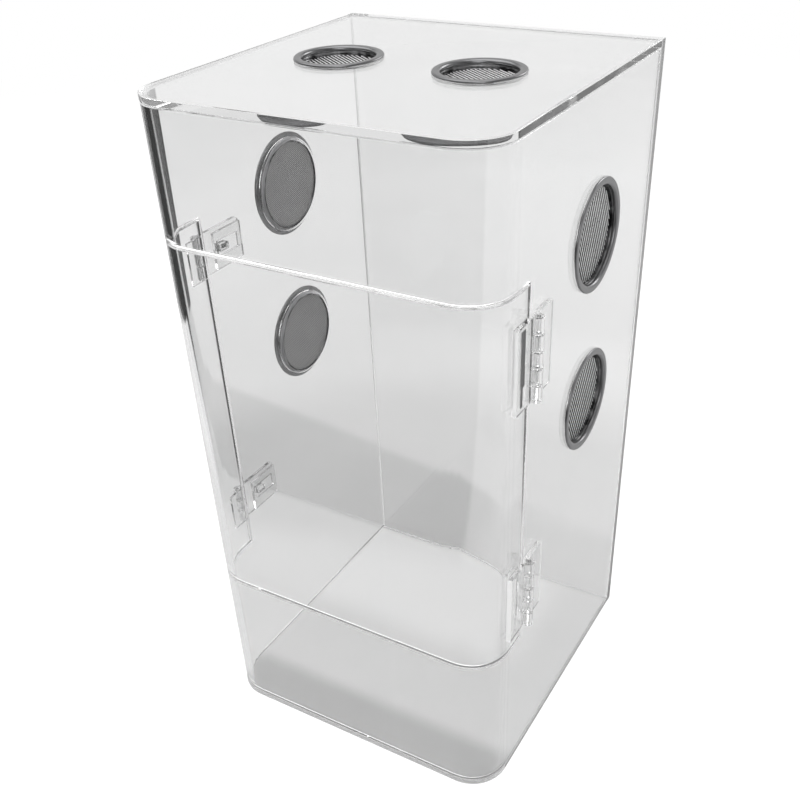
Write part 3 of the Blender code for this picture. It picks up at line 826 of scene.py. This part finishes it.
@dataclass
class Vent:
    """One vent: a turned cup in the wall's hole and a woven wire disc on its lip."""

    label: str
    side: Side
    metal: Finish
    wire: Finish
    flange_width: float = 0.0026
    flange_roll: float = 0.0006
    mouth_roll: float = 0.0011
    groove: float = 0.00015
    groove_places: tuple[float, float] = (-0.0009, -0.0021)
    cup_wall: float = 0.0007
    lip_width: float = 0.0006
    fit: float = 0.0003
    flange_thickness: float = 0.0008
    seat_gap: float = 0.0003
    seat_depth: float = 0.0033
    cup_depth: float = 0.0038
    pitch: float = 0.00153
    wire_radius: float = 0.00025
    weft_pitch: float = 0.00074
    weft_radius: float = 0.00038
    weft_back_glint: float = 0.50
    crimp: float = 0.10
    press_share: float = 0.9
    rest_share: float = 1.1
    pitch_steps: int = 2
    steps: int = 128

    def frame(self) -> tuple[Matrix, float]:
        """Return the matrix from the vent's own frame to its wall, and the flange's radius."""
        low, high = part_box(f"vent_cup_{self.label}")
        middle = (low + high) / 2
        proud = self.seat_gap + self.flange_thickness
        turn = Matrix.Rotation(self.side.value, 4, "Y")
        outward = turn @ Vector((0, 0, 1))
        reach = max(abs(outward.dot(low - middle)), abs(outward.dot(high - middle)))
        wall = middle + outward * (reach - proud)
        return Matrix.Translation(wall) @ turn, (high.y - low.y) / 2

    def build(self) -> None:
        """Make the cup and its weave."""
        place, radius = self.frame()
        cup = self.turned(radius)
        cup.transform(place)
        node = f"vent_cup_{self.label}"
        place_piece(node + "_turned", cup, self.metal, "case", node)
        weave = self.woven(radius)
        weave.transform(place)
        node = f"vent_mesh_{self.label}"
        place_piece(node + "_woven", weave, self.wire, "case", node)

    def profile(self, radius: float) -> list[tuple[float, float]]:
        """Return the cup's section, from the bore's mouth round the flange and down to the lip."""
        tube = radius - self.flange_width
        bore = tube - self.cup_wall
        lip = bore - self.lip_width
        low = self.seat_gap
        high = self.seat_gap + self.flange_thickness
        seat = -self.seat_depth
        foot = -self.cup_depth
        roll = self.flange_roll
        mouth = self.mouth_roll
        path = [tuple(point) for point in arc((bore + mouth, high - mouth), mouth, 180, 90, 4)]
        path += [tuple(point) for point in arc((radius - roll, high - roll), roll, 90, 0, 8)]
        path += [(radius, low), (tube, low), (tube, foot + mouth), (tube - mouth, foot)]
        path += [(lip, foot), (lip, seat), (bore, seat)]
        groove = self.groove
        for place in reversed(self.groove_places):
            path += [(bore, place - groove), (bore + groove, place), (bore, place + groove)]
        return path

    def turned(self, radius: float) -> Mesh:
        """Turn the cup's section about the vent's axis, keeping each point's lathe place."""
        section = self.profile(radius)
        shape = bmesh.new()
        rings = []
        for step in range(self.steps):
            angle = math.tau * step / self.steps
            cosine, sine = math.cos(angle), math.sin(angle)
            rings.append([shape.verts.new((across * cosine, across * sine, height))
                          for across, height in section])
        for ring, following in zip(rings, rings[1:] + rings[:1]):
            for here, start in enumerate(ring):
                there = (here + 1) % len(ring)
                shape.faces.new((start, ring[there], following[there], following[here]))
        mesh = settled(as_mesh("cup", shape))
        # The lathe's third number marks the bore, which the metal finish paints with shade and
        # reflection stripes.
        inside = radius - self.flange_width - self.cup_wall / 2
        lathe = mesh.attributes.new("lathe", "FLOAT_VECTOR", "POINT")
        for point, value in zip(mesh.vertices, lathe.data):
            across = Vector(point.co[:2]).length
            in_bore = across < inside and point.co.z < self.seat_gap
            value.vector = (across, point.co.z, float(in_bore))
        return mesh

    def woven(self, radius: float) -> Mesh:
        """Lay a proud warp over a close weft, and the disc on the cup's lip."""
        reach = radius - self.flange_width - self.cup_wall - self.fit
        shape = bmesh.new()
        quarter = Matrix.Rotation(math.pi / 2, 4, "Z")
        lift = self.wire_radius + self.press_share * self.weft_radius
        # The last two numbers of each family are its painted highlight in front and behind: the warp
        # is painted lit all round, the weft painted in shade in front and half lit behind.
        families = ((self.pitch, self.wire_radius, 1.0, 1.0, Matrix.Translation((0, 0, lift))),
                    (self.weft_pitch, self.weft_radius, 0.0, self.weft_back_glint, quarter))
        for pitch, thick, front, back, place in families:
            rows = int(reach / pitch)
            sizes = {"Reach": reach, "Pitch": pitch, "Wire radius": thick, "Front": front,
                     "Back": back, "Crimp": self.crimp, "Rows": 2 * rows + 1,
                     "Steps": 2 * rows * self.pitch_steps + 1}
            blank = as_mesh("weave", bmesh.new())
            family = self.weaving_rule(sizes).make(blank, self.wire.material())
            family.transform(place)
            shape.from_mesh(family)
        mesh = closed(as_mesh("weave", shape))
        mesh.shade_smooth()
        low = -self.seat_depth + self.rest_share * self.weft_radius
        turn = Matrix.Rotation(WEAVE_TURNS[self.side], 4, "Z")
        mesh.transform(Matrix.Translation((0, 0, low)) @ turn)
        return mesh

    @staticmethod
    def weaving_rule(sizes: dict[str, float | int]) -> Recipe:
        """Draw the rule of one family of a weave: rows of slightly crimped wire in a round outline.

        Args:
            sizes: The disc's reach, the wires' pitch and radius, the painted highlight on their
                front and back, the crimp as a share of the radius, and the counts of rows and steps.

        Returns:
            The finished Geometry Nodes tree.
        """
        recipe = Recipe("wire_rows", sizes)
        terms = (recipe.size(name) for name in sizes)
        reach, pitch, thick, front, back, crimp, rows, steps = terms
        span = (rows - 1) * pitch
        grid = recipe.node("GeometryNodeMeshGrid", values={
            "Size X": span, "Size Y": span, "Vertices X": steps, "Vertices Y": rows})
        ends = recipe.node("GeometryNodeInputMeshEdgeVertices", output="Position 1")
        _, one, _ = recipe.parts(ends)
        _, two, _ = recipe.parts(ends.output("Position 2"))
        crossing = (one - two).does("ABSOLUTE").does("GREATER_THAN", 1e-6)
        lines = recipe.node("GeometryNodeDeleteGeometry", {"domain": "EDGE", "mode": "EDGE_FACE"},
                            {"Geometry": grid, "Selection": crossing})
        spot = recipe.node("GeometryNodeInputPosition")
        across, along, height = recipe.parts(spot)
        outside = recipe.node("ShaderNodeVectorMath", {"operation": "LENGTH"}, {0: spot}, "Value")
        trimmed = recipe.node("GeometryNodeDeleteGeometry", {"domain": "POINT"}, {
            "Geometry": lines, "Selection": outside.does("GREATER_THAN", reach - thick)})
        wave = ((across + along) / pitch * math.pi).does("COSINE") * thick * crimp
        waved = recipe.node("GeometryNodeSetPosition", values={
            "Geometry": trimmed, "Offset": recipe.vector(0.0, 0.0, wave)})
        paths = recipe.node("GeometryNodeMeshToCurve", values={"Mesh": waved})
        ring = recipe.node("GeometryNodeCurvePrimitiveCircle", values={
            "Resolution": 8, "Radius": thick})
        wires = recipe.node("GeometryNodeCurveToMesh", values={
            "Curve": paths, "Profile Curve": ring, "Fill Caps": True})
        # The lower side of each wire takes the back share of painted highlight, the rest the front
        # share.
        behind = height.does("LESS_THAN", thick * -0.1)
        marked = recipe.node("GeometryNodeStoreNamedAttribute",
                             {"data_type": "FLOAT", "domain": "POINT"},
                             {"Geometry": wires, "Name": PAINTED_GLINT,
                              "Value": front + behind * (back - front)})
        recipe.close(marked)
        return recipe


@dataclass
class Knuckled:
    """A moulded leaf whose knuckles wrap a pin. The pin is Z, the leaf reaches to +X."""

    height: float
    barrel: float
    bore: float
    knuckles: int
    gap: float = 0.0004
    steps: int = 48

    def bands(self, owner: int) -> list[tuple[float, float]]:
        """Return the height ranges of the other leaf's knuckles, widened by the gap."""
        step = self.height / self.knuckles
        bands = []
        for index in range(self.knuckles):
            if index % 2 == owner:
                continue
            low = -self.height / 2 + index * step - (self.gap / 2 if index else OVERRUN)
            last = index == self.knuckles - 1
            high = -self.height / 2 + (index + 1) * step + (OVERRUN if last else self.gap / 2)
            bands.append((low, high))
        return bands

    def leaf_outline(self, foot: float, thickness: float, width: float) -> list[Vector]:
        """Return a leaf's outline along the pin, its underside at the foot height."""
        high = foot + thickness
        meet = math.degrees(math.asin(high / self.barrel))
        turn = arc((0, 0), self.barrel, 270, meet, self.steps)
        return [Vector((width, foot)), Vector((0, foot))] + turn + [Vector((width, high))]

    def strap_outline(self, thickness: float, reach: float) -> list[Vector]:
        """Return a strap's outline along the pin, centred on it."""
        half = thickness / 2
        meet = math.degrees(math.asin(half / self.barrel))
        turn = arc((0, 0), self.barrel, 360 - meet, meet, self.steps)
        return [Vector((reach, -half))] + turn + [Vector((reach, half))]

    def made(self, outline: list[Vector], owner: int) -> Mesh:
        """Return the leaf with its bore and its knuckles notched."""
        hole = Disc((0, 0), self.bore, self.steps // 2)
        leaf = as_mesh("leaf", slab(Freeform(tuple(outline)), [hole], self.height))
        leaf.transform(Matrix.Translation((0, 0, -self.height / 2)))
        clear = self.barrel + self.gap
        deep = self.barrel + OVERRUN
        for low, high in self.bands(owner):
            leaf = solved(leaf, block((-clear, -deep, low), (clear, deep, high)), Solver.CUT)
        return leaf


def pin_mesh(radius: float, length: float, edge: float) -> Mesh:
    """Return a round pin about its middle, with rounded ends."""
    mesh = as_mesh("pin", slab(Disc((0, 0), radius, 32), [], length, edge))
    mesh.transform(Matrix.Translation((0, 0, -length / 2)))
    return settled(mesh)


def flipped(outline: list[Vector]) -> list[Vector]:
    """Mirror an outline left to right."""
    return [Vector((-point.x, point.y)) for point in reversed(outline)]


@dataclass
class ButtHinge:
    """A clear butt hinge: two leaves with interleaved knuckles on one pin.

    The door's leaf has a stepped groove in its underside. Its roof takes its own finish, which on
    the upper hinge is near black: a painted dark reflection along the hinge.
    """

    level: str
    finish: Finish
    pin_finish: Finish
    key_finish: Finish
    end_finish: Finish
    leaf_width: float = 0.015
    leaf_thickness: float = 0.0022
    barrel: float = 0.0026
    pin_radius: float = 0.0012
    knuckles: int = 5
    seat_gap: float = 0.0003
    pin_fit: float = 0.0003
    keys: tuple[tuple[float, float, float, float], ...] = (
        (0.0080, -0.0075, 0.0112, 0.0157), (0.0094, -0.0157, 0.0108, -0.0065))
    key_depth: float = 0.0012
    edge: float = 0.00025

    def build(self) -> None:
        """Make both leaves and the pin about the pin's place."""
        low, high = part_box(f"{self.level}_hinge_pin")
        place = Matrix.Translation((low + high) / 2) @ Matrix.Rotation(-math.pi / 2, 4, "Z")
        height = high.z - low.z
        shape = Knuckled(height, self.barrel, self.pin_radius + self.pin_fit, self.knuckles)
        foot = -self.barrel - self.seat_gap
        outline = shape.leaf_outline(foot, self.leaf_thickness, self.leaf_width)
        self.place_leaf("wall_leaf", shape.made(flipped(outline), 0), place, "case")
        door_leaf = shape.made(outline, 1)
        for start, low_end, stop, high_end in self.keys:
            roof = foot + self.key_depth
            groove = block((start, foot - OVERRUN, low_end), (stop, roof, high_end))
            door_leaf = solved(door_leaf, groove, Solver.CUT)
        self.place_leaf("door_leaf", door_leaf, place, "door")
        pin = pin_mesh(self.pin_radius, height, self.edge)
        pin.transform(place)
        node = f"{self.level}_hinge_pin"
        place_piece(node + "_polished", pin, self.pin_finish, "case", node)

    def place_leaf(self, part: str, mesh: Mesh, place: Matrix, body: str) -> None:
        """Round a leaf's edges, mark its groove's roof and its far end, and show it."""
        leaf = settled(mesh, self.edge)
        roof = self.key_depth - self.barrel - self.seat_gap
        for face, mark in zip(leaf.polygons, leaf.attributes[CUT].data):
            inside = any(start < face.center.x < stop and low_end < face.center.z < high_end
                         for start, low_end, stop, high_end in self.keys)
            roofed = inside and abs(face.center.y - roof) < self.key_depth / 4
            ended = abs(abs(face.center.x) - self.leaf_width) < self.edge / 2
            mark.value = 1 if roofed else 2 * int(ended)
        leaf.transform(place)
        node = f"{self.level}_hinge_{part}"
        place_piece(node + "_moulded", leaf, self.finish, body, node,
                    (self.key_finish, self.end_finish))


@dataclass
class Hasp:
    """A clear slotted hasp: a leaf on the door, a strap on its pin, and a staple on the wall."""

    level: str
    finish: Finish
    pin_finish: Finish
    leaf_width: float = 0.0085
    leaf_thickness: float = 0.0014
    barrel: float = 0.0020
    pin_radius: float = 0.0009
    knuckles: int = 3
    strap_reach: float = 0.0275
    strap_thickness: float = 0.0016
    strap_corner: float = 0.0020
    slot_start: float = 0.0115
    slot_length: float = 0.0142
    slot_height: float = 0.0070
    slot_corner: float = 0.0008
    plate_start: float = 0.0085
    plate_length: float = 0.0180
    plate_height: float = 0.0165
    tab_length: float = 0.0058
    tab_width: float = 0.0030
    tab_front: float = 0.0042
    tab_rear: float = 0.0027
    tab_nose: float = 0.0008
    tab_crest: float = 0.0015
    eye_radius: float = 0.0008
    eye_wall: float = 0.0005
    eye_from_front: float = 0.0017
    tab_clearance: float = 0.0009
    seat_gap: float = 0.0003
    pin_fit: float = 0.0003
    edge: float = 0.0002

    def build(self) -> None:
        """Make the leaf, the strap, the pin and the staple about the pin's place."""
        low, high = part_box(f"{self.level}_hasp_pin")
        place = Matrix.Translation((low + high) / 2) @ Matrix.Rotation(math.pi / 2, 4, "Z")
        height = high.z - low.z
        shape = Knuckled(height, self.barrel, self.pin_radius + self.pin_fit, self.knuckles)
        outline = shape.leaf_outline(self.foot(), self.leaf_thickness, self.leaf_width)
        strap = f"{self.level}_strap"
        self.show("door_leaf", shape.made(flipped(outline), 0), place, "door")
        self.show("strap", self.strap_mesh(shape, height), place, strap)
        self.show("staple", self.staple_mesh(), place, "case")
        pin = pin_mesh(self.pin_radius, height, self.edge)
        pin.transform(place)
        node = f"{self.level}_hasp_pin"
        place_piece(node + "_polished", pin, self.pin_finish, "door", node)

    def foot(self) -> float:
        """Return the underside of the leaf and the staple's plate, below the pin's line."""
        return -self.leaf_thickness - self.seat_gap - self.strap_thickness / 2

    def show(self, part: str, mesh: Mesh, place: Matrix, body: str) -> None:
        """Round a part's edges and show it."""
        part_mesh = settled(mesh, self.edge)
        part_mesh.transform(place)
        node = f"{self.level}_hasp_{part}"
        place_piece(node + "_moulded", part_mesh, self.finish, body, node)

    def strap_mesh(self, shape: Knuckled, height: float) -> Mesh:
        """Return the strap: its knuckle, its rounded far corners and its slot."""
        strap = shape.made(shape.strap_outline(self.strap_thickness, self.strap_reach), 1)
        upright = Matrix.Rotation(math.pi / 2, 4, "X")
        corner = self.strap_corner
        half = height / 2
        body = RoundedBox(-OVERRUN, -half, self.strap_reach, half, (0.0, corner, corner, 0.0), 12)
        deep = 2 * OVERRUN
        lift = Matrix.Translation((0, deep / 2, 0)) @ upright
        keep = as_mesh("keep", slab(body, [], deep))
        keep.transform(lift)
        strap = solved(strap, keep, Solver.SHARED)
        ends = (self.slot_corner,) * 4
        tall = self.slot_height / 2
        slot_end = self.slot_start + self.slot_length
        slot = RoundedBox(self.slot_start, -tall, slot_end, tall, ends, 8)
        waste = as_mesh("waste", slab(slot, [], deep))
        waste.transform(lift)
        return solved(strap, waste, Solver.CUT)

    def staple_mesh(self) -> Mesh:
        """Return the staple: a plate on the wall with a low rounded tab and its padlock eye."""
        low = self.foot()
        plate_top = low + self.leaf_thickness
        half = self.plate_height / 2
        plate_end = self.plate_start + self.plate_length
        plate = block((self.plate_start, low, -half), (plate_end, plate_top, half))
        front = self.slot_start + self.tab_clearance
        rear = front + self.tab_length
        root = low + self.leaf_thickness / 2
        tall = plate_top + self.tab_front
        outline = [Vector((front, root)), Vector((rear, root)),
                   Vector((rear, plate_top + self.tab_rear)), Vector((front + self.tab_crest, tall))]
        outline += arc((front + self.tab_nose, tall - self.tab_nose), self.tab_nose, 90, 180, 12)
        eye_place = (front + self.eye_from_front, tall - self.eye_wall - self.eye_radius)
        eye = Disc(eye_place, self.eye_radius, 32)
        tab = as_mesh("tab", slab(Freeform(tuple(outline)), [eye], self.tab_width))
        tab.transform(Matrix.Translation((0, 0, -self.tab_width / 2)))
        return solved(plate, tab, Solver.JOIN)


@dataclass
class Rays:
    """Masks of the rays that see the surroundings: direct, through clear pieces, mirrored, rest."""

    direct: Term
    through: Term
    mirrored: Term
    rest: Term

    @classmethod
    def of(cls, graph: Graph) -> "Rays":
        """Return the masks in a graph."""
        direct = graph.node("ShaderNodeLightPath", output="Is Camera Ray")
        refracted = direct.output("Is Transmission Ray")
        polished = direct.output("Is Glossy Ray").does("MAXIMUM", refracted)
        bounced = direct.output("Glossy Depth").does("GREATER_THAN", 0.5)
        rest = (1.0 - direct - polished).does("MAXIMUM", 0.0)
        return cls(direct, polished * (1 - bounced), polished * bounced, rest)


Edge = tuple[tuple[float, float], tuple[float, float]]


@dataclass
class Studio:
    """The pale bench on a white floor, the surroundings and the soft lamps.

    Only rays through clear pieces or off polished ones see the bench's tone, its shade and its two
    edges, past which the room is dark. A direct look at the floor finds white with the shadow.
    """

    floor_size: float = 6.0
    floor_drop: float = 0.0002
    ambient: float = 0.45
    floor_glow: float = 0.5
    floor_albedo: float = 0.9
    matt_until: float = 0.3
    glow_from: float = 1.5
    near_tone: float = 0.77
    far_tone: float = 0.86
    near: float = 0.40
    far: float = 0.78
    cloth_size: float = 0.2
    cloth_share: float = 0.06
    foot_shade: float = 0.14
    foot_light: float = 0.05
    foot_reach: float = 0.29
    rear_shade: float = 0.16
    rear_shade_right: float = 0.07
    rear_shade_end: float = 0.14
    rear_shade_lean: float = 0.12
    core_shade: float = 0.06
    front_shade: float = 0.29
    front_shade_reach: float = 0.026
    shade_blur: float = 0.006
    side_edge: Edge = ((-0.475, 0.218), (-1.165, 0.938))
    near_edge: Edge = ((-0.535, -0.10), (-0.475, 0.20))
    front_edge: Edge = ((0.50, -0.3665), (-0.50, -0.0995))
    side_blur: float = 0.008
    front_blur: float = 0.022
    beyond: float = 0.05
    clear_until: float = 0.04
    clear_lean: float = 0.2
    fade_at: float = 1.45
    fade_blur: float = 0.15
    front_share: float = 0.35

    def build(self) -> None:
        """Set up the surroundings."""
        self.build_floor()
        self.build_world()
        self.lamp("overhead", (-0.5, -0.3, 1.7), (0, 0, 0.1), 2.6, 46)
        self.lamp("front_fill", (0.9, -1.5, 0.9), (0, 0, 0.15), 1.0, 10)
        self.lamp("rear_rim", (0.6, 1.4, 1.0), (0, 0, 0.15), 0.8, 9)

    def shade(self, graph: Graph, place: Term) -> Term:
        """Return the soft shade on the floor: round the case, behind it and inside its front."""
        low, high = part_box("base_panel")
        across, along, _ = graph.parts(place)
        blur = self.shade_blur
        away = graph.node("ShaderNodeVectorMath", {"operation": "LENGTH"}, {0: place}, "Value")
        about = 1 - self.step(graph, away, self.foot_reach, 8 * blur)
        past = self.step(graph, along, high.y, blur / 2)
        lean = along + across * self.rear_shade_lean
        behind = past * (1 - self.step(graph, lean, self.rear_shade_end, blur))
        left = 1 - self.step(graph, across, low.x / 8, 3 * blur)
        core = self.step(graph, across, low.x, blur / 2) * (
            1 - self.step(graph, across + (along - high.y) * 0.4, low.x / 4, blur / 2))
        deeper = left * (self.rear_shade - self.rear_shade_right)
        deep = self.rear_shade_right + deeper + core * self.core_shade
        inside = self.step(graph, along, low.y, blur) * (
            1 - self.step(graph, along, low.y + self.front_shade_reach, blur))
        within = self.step(graph, across, low.x, blur) * (
            1 - self.step(graph, across, high.x, blur))
        lit = (1 - past) * self.step(graph, along, 0.0, 2 * blur) * within * (
            1 - self.step(graph, across, high.x * 0.6, 2 * blur))
        return (about * (1 - lit) * self.foot_shade - lit * self.foot_light + behind * deep
                + inside * within * self.front_shade)

    @staticmethod
    def step(graph: Graph, value: Term, place: float, blur: float) -> Term:
        """Return a soft step from nought to one at a place."""
        return graph.node("ShaderNodeMapRange", {"interpolation_type": "SMOOTHSTEP"}, {
            "Value": value, "From Min": place - blur, "From Max": place + blur})

    def beside(self, graph: Graph, place: Term, edge: Edge, blur: float) -> Term:
        """Return one on the bench's side of an edge, and nought beyond it."""
        start = Vector(edge[0])
        run = (Vector(edge[1]) - start).normalized()
        across, along, _ = graph.parts(place)
        past = (across - start.x) * run.y - (along - start.y) * run.x
        return self.step(graph, past, 0.0, blur)

    def lit_share(self, bench: Term) -> Term:
        """Return how much of the bench's tone is seen, where one is on it and nought beyond it."""
        return self.beyond + bench * (1 - self.beyond)

    def build_floor(self) -> None:
        """Lay the floor, which glows like the surroundings and keeps the object's shadow."""
        shape = slab(Disc((0, 0), self.floor_size, 96), [], self.floor_drop)
        mesh = as_mesh("floor", shape)
        mesh.transform(Matrix.Translation((0, 0, -2 * self.floor_drop)))
        material = bpy.data.materials.new("pale_floor")
        material.use_nodes = True
        graph = Graph(material.node_tree)
        place = graph.node("ShaderNodeTexCoord", output="Object")
        away = graph.node("ShaderNodeVectorMath", {"operation": "LENGTH"}, {0: place}, "Value")
        tone = graph.node("ShaderNodeMapRange", values={
            "Value": away, "From Min": self.near, "From Max": self.far,
            "To Min": self.near_tone, "To Max": self.far_tone})
        cloth = graph.node("ShaderNodeTexNoise", values={
            "Vector": place, "Scale": 1 / self.cloth_size, "Detail": 2.0})
        uneven = 1 - self.cloth_share + cloth * 2 * self.cloth_share
        seen = tone * uneven * (1 - self.shade(graph, place))
        rays = Rays.of(graph)
        side = self.beside(graph, place, self.side_edge, self.side_blur).does(
            "MAXIMUM", self.beside(graph, place, self.near_edge, self.side_blur))
        front = self.beside(graph, place, self.front_edge, self.front_blur)
        across, along, _ = graph.parts(place)
        depth = along + across * self.clear_lean
        shallow = 1 - self.step(graph, depth, self.clear_until, self.front_blur)
        faded = self.step(graph, away, self.fade_at, self.fade_blur)
        cleared = side.does("MAXIMUM", shallow).does("MAXIMUM", faded)
        level = rays.direct + seen * (
            rays.through * self.lit_share(cleared) + rays.mirrored * self.lit_share(side * front))
        glow = graph.node("ShaderNodeEmission", values={
            "Color": grey(1.0), "Strength": level + rays.rest * self.ambient})
        albedo = (level + rays.rest) * self.floor_albedo
        matt = graph.node("ShaderNodeBsdfDiffuse", values={
            "Color": graph.vector(albedo, albedo, albedo)})
        far = graph.node("ShaderNodeMapRange", values={
            "Value": away, "From Min": self.matt_until, "From Max": self.glow_from,
            "To Min": self.floor_glow, "To Max": 1.0})
        surface = graph.node("ShaderNodeMixShader", values={0: far, 1: matt, 2: glow})
        graph.node("ShaderNodeOutputMaterial", values={"Surface": surface})
        mesh.materials.append(material)
        floor = bpy.data.objects.new("floor", mesh)
        bpy.context.scene.collection.objects.link(floor)

    def build_world(self) -> None:
        """Surround the object with white, and mirrors with pale walls under a darker ceiling."""
        world = bpy.data.worlds.new("surroundings")
        world.use_nodes = True
        bpy.context.scene.world = world
        graph = Graph(world.node_tree)
        toward = graph.node("ShaderNodeTexCoord", output="Generated")
        _, along, height = graph.parts(toward)
        walls = [(0.0, 0.85), (0.10, 0.95), (0.34, 0.95)]
        ceiling = [(0.50, 0.30), (0.75, 0.25), (0.90, 0.6)]
        room = graph.node("ShaderNodeValToRGB", {"stops": walls + ceiling}, {0: height})
        facing = self.step(graph, along, -0.15, 0.2)
        room = room * (self.front_share + facing * (1 - self.front_share))
        rays = Rays.of(graph)
        strength = (rays.direct + rays.through * self.far_tone + rays.mirrored * room
                    + rays.rest * self.ambient)
        sky = graph.node("ShaderNodeBackground", values={"Color": grey(1.0), "Strength": strength})
        graph.node("ShaderNodeOutputWorld", values={"Surface": sky})

    @staticmethod
    def lamp(name: str, place: tuple[float, float, float], target: tuple[float, float, float],
             size: float, watts: float) -> None:
        """Hang a soft square lamp that only reflections can see."""
        data = bpy.data.lights.new(name, "AREA")
        data.shape = "SQUARE"
        data.size = size
        data.energy = watts
        lamp = bpy.data.objects.new(name, data)
        lamp.location = place
        lamp.rotation_euler = (Vector(target) - Vector(place)).to_track_quat("-Z", "Y").to_euler()
        lamp.visible_camera = False
        lamp.visible_transmission = False
        bpy.context.scene.collection.objects.link(lamp)


@dataclass
class Viewpoint:
    """The camera at the photograph's viewing angle, with its crop as the lens shift."""

    place: tuple[float, float, float] = (0.20809, -0.34741, 0.39574)
    dip: float = 0.609
    heading: float = 0.545
    roll: float = -0.041
    focal_pixels: float = 997.766
    centre_pixel: tuple[float, float] = (418.808, 471.791)
    frame_pixels: int = 800
    sensor: float = 36.0

    def build(self) -> None:
        """Place the camera."""
        forward = Vector((-math.sin(self.heading) * math.cos(self.dip),
                          math.cos(self.heading) * math.cos(self.dip), -math.sin(self.dip)))
        level = Vector((math.cos(self.heading), math.sin(self.heading), 0))
        upright = level.cross(forward)
        across = level * math.cos(self.roll) + upright * math.sin(self.roll)
        up = upright * math.cos(self.roll) - level * math.sin(self.roll)
        turn = Matrix((across, up, -forward)).transposed()
        data = bpy.data.cameras.new("viewpoint")
        data.sensor_width = self.sensor
        data.lens = self.focal_pixels * self.sensor / self.frame_pixels
        half = self.frame_pixels / 2
        data.shift_x = (half - self.centre_pixel[0]) / self.frame_pixels
        data.shift_y = (self.centre_pixel[1] - half) / self.frame_pixels
        data.clip_start = 0.01
        camera = bpy.data.objects.new("viewpoint", data)
        camera.matrix_world = Matrix.Translation(self.place) @ turn.to_4x4()
        bpy.context.scene.collection.objects.link(camera)
        bpy.context.scene.camera = camera


def main() -> None:
    """Build the camera, the sub-assemblies and the studio in order."""
    logging.basicConfig(level=logging.INFO, format="%(message)s")
    bpy.context.scene.view_settings.view_transform = "Standard"
    Viewpoint().build()
    sheet = ClearAcrylic("clear_sheet", "clear_sheet")
    moulding = ClearAcrylic("clear_moulding", "clear_moulded", tint=0.95, haze=0.04,
                            haze_size=0.01, ripple=0.05, ripple_size=0.008, grain=0.01,
                            trapped=0.80)
    metal = TurnedMetal("turned_metal", "vent_metal")
    wire = DrawnWire("drawn_wire", "vent_wire")
    # Saw-cut sides: rough and matt, with a dark diffuse coat that paints the shade along the cut.
    sawn_and_shade = ClearAcrylic("sawn_edge_and_shade", "clear_sheet", haze=0.30, haze_size=0.012, frost_and_paint_share=0.75)
    # Pale diffuse coat: on the shell's welded rear ends it paints the light passing through the
    # joint; it also covers the hinge leaves' far ends.
    pale = {"tint": 0.95, "haze": 0.30, "haze_size": 0.012, "frost_and_paint_share": 0.6, "frost_and_paint_tone": 0.9}
    cemented_and_lit = ClearAcrylic("cemented_end_and_light", "clear_sheet", **pale)
    SheetWork(sheet, sawn_and_shade, cemented_and_lit).build()
    labels = {Side.TOP: ("top_left", "top_right"), Side.LEFT: ("left_upper", "left_lower"),
              Side.RIGHT: ("right_upper", "right_lower")}
    for side, pair in labels.items():
        for label in pair:
            Vent(label, side, metal, wire).build()
    # Painted dark reflection: the upper hinge's groove roof is near black.
    dark_bar_paint = ClearAcrylic("painted_dark_bar", "clear_moulded", tint=0.95, frost_and_paint_share=0.97, frost_and_paint_tone=0.01)
    leaf_end = ClearAcrylic("leaf_end", "clear_moulded", **pale)
    for level, key_finish in (("upper", dark_bar_paint), ("lower", moulding)):
        ButtHinge(level, moulding, moulding, key_finish, leaf_end).build()
        Hasp(level, moulding, moulding).build()
    Studio().build()


if __name__ == "__main__":
    main()
